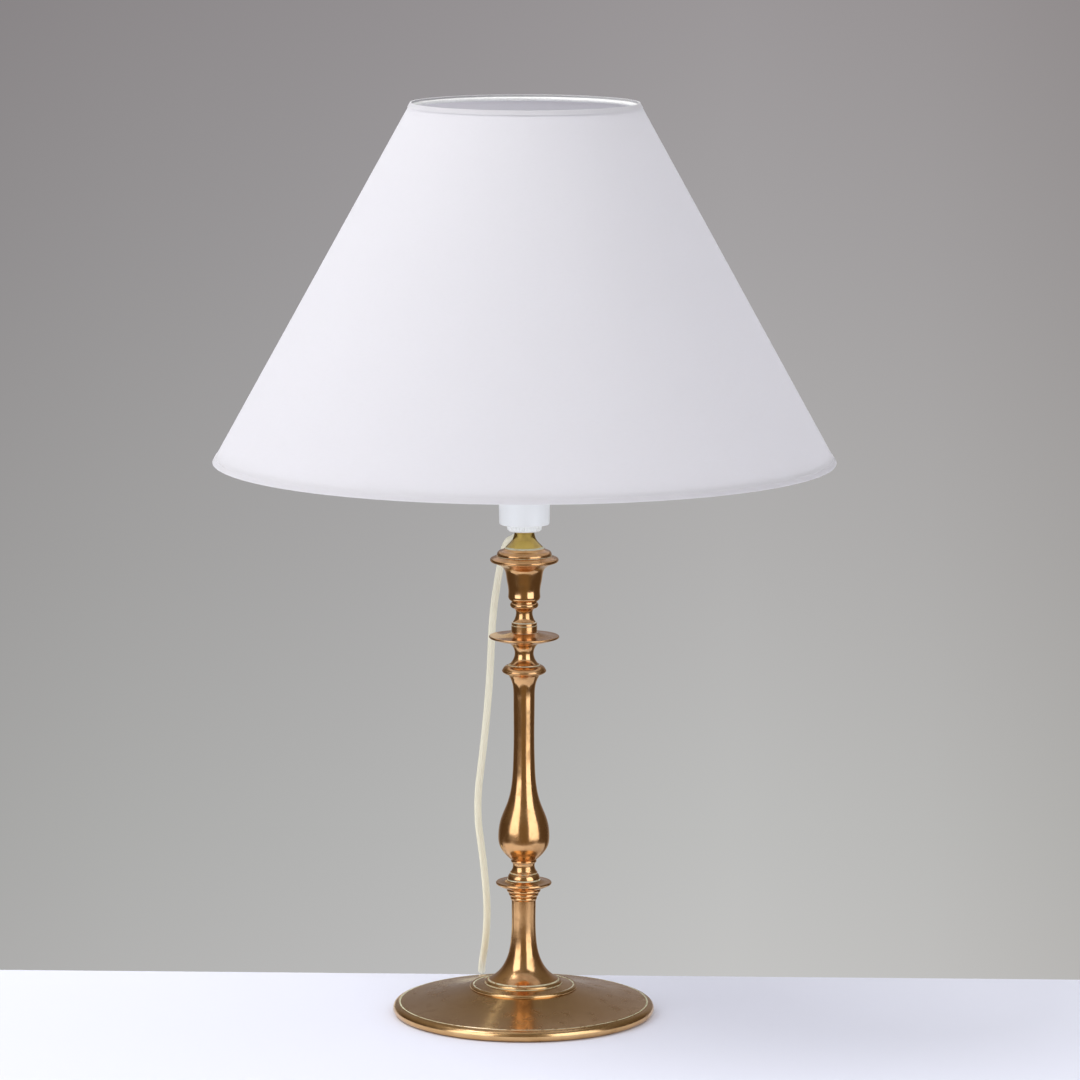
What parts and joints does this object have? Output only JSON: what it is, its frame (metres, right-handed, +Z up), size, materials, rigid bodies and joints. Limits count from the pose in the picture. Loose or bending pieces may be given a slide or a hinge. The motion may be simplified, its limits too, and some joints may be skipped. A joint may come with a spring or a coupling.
{
  "type": "candlestick table lamp",
  "caption": "Turned brass candlestick made into a table lamp, with a screw lampholder in its cup, a white cone shade that turns, and a mains cord with rocker switch.",
  "frame": {"origin": "centre of the base's underside, on the stem's axis", "axes": "+Z up along the stem, -Y towards the viewer, the cord leaves towards +Y and -X"},
  "size_m": [0.4976, 0.4976, 0.7369],
  "materials": {
    "stem_brass": "polished old brass, warm",
    "base_brass": "polished old brass, browner",
    "flare_brass": "spun brass, yellower",
    "steel": "plain zinc-plated steel",
    "rubber": "matte",
    "holder_plastic": "white thermoplastic, satin gloss",
    "insert_ceramic": "unglazed",
    "contact_brass": "stamped",
    "shell_metal": "rolled sheet",
    "bulb_glass": "clear",
    "bulb_insulator": "black vitrite",
    "filament": "yellow phosphor",
    "shade_fabric": "white laminated cloth",
    "shade_tape": "woven cotton tape",
    "wire_white": "white lacquered wire",
    "cord_pvc": "cream PVC",
    "switch_plastic": "cream white",
    "pin_metal": "nickel plated"
  },
  "bodies": {
    "root": {"base_dish": "base_brass", "lower_column": "stem_brass", "lower_disc": "stem_brass", "baluster_shaft": "stem_brass", "upper_spool": "stem_brass", "drip_pan": "stem_brass", "cup_spool": "stem_brass", "candle_cup": "stem_brass", "tie_rod": "steel", "base_washer": "steel", "base_nut": "steel", "cup_nut": "steel", "converter_plug": "rubber", "nipple_nut": "contact_brass", "converter_nipple": "contact_brass", "converter_flare": "flare_brass", "cord_bush": "cord_pvc", "holder_collar": "holder_plastic", "holder_cap": "holder_plastic", "holder_body": "holder_plastic", "holder_insert": "insert_ceramic", "screw_shell": "shell_metal", "centre_contact": "contact_brass", "terminal_screws": "contact_brass", "shade_clamp_ring": "holder_plastic", "cord_to_switch": "cord_pvc", "cord_to_coil": "cord_pvc", "cord_coil": "cord_pvc", "cord_to_plug": "cord_pvc", "coil_tie": "rubber", "switch_base": "switch_plastic", "switch_cover": "switch_plastic", "switch_screws": "steel", "plug_body": "switch_plastic", "plug_pins": "pin_metal", "plug_relief": "cord_pvc"},
    "shade": {"shade_cone": "shade_fabric", "shade_bottom_tape": "shade_tape", "shade_top_tape": "shade_tape", "shade_bottom_ring": "wire_white", "shade_top_ring": "wire_white", "carrier_ring": "wire_white", "carrier_arm_1": "wire_white", "carrier_arm_2": "wire_white", "carrier_arm_3": "wire_white"},
    "bulb_lead": {"bulb_button": "shell_metal", "bulb_insulator": "bulb_insulator"},
    "bulb": {"bulb_cap": "shell_metal", "bulb_glass": "bulb_glass", "bulb_stem": "bulb_glass", "bulb_filaments": "filament"},
    "rocker": {"switch_rocker": "switch_plastic"}
  },
  "joints": [
    {"name": "shade_turn", "type": "hinge", "parent": "root", "child": "shade", "pos_m": [0, 0, 0.4553], "axis": [0, 0, 1], "continuous": true},
    {"name": "bulb_rise", "type": "slide", "parent": "root", "child": "bulb_lead", "axis": [0, 0, 1], "range_m": [0, 0.0127]},
    {"name": "bulb_turn", "type": "hinge", "parent": "bulb_lead", "child": "bulb", "pos_m": [0, 0, 0.45], "axis": [0, 0, 1], "range_deg": [0, 1260]},
    {"name": "rocker_tilt", "type": "hinge", "parent": "root", "child": "rocker", "pos_m": [-0.133, 0.161, 0.0166], "axis": [0, 1, 0], "range_deg": [0, 18]}
  ],
  "couplings": [
    {"joint": "bulb_rise", "follows": "bulb_turn", "m_per_rad": 0.00057614}
  ]
}
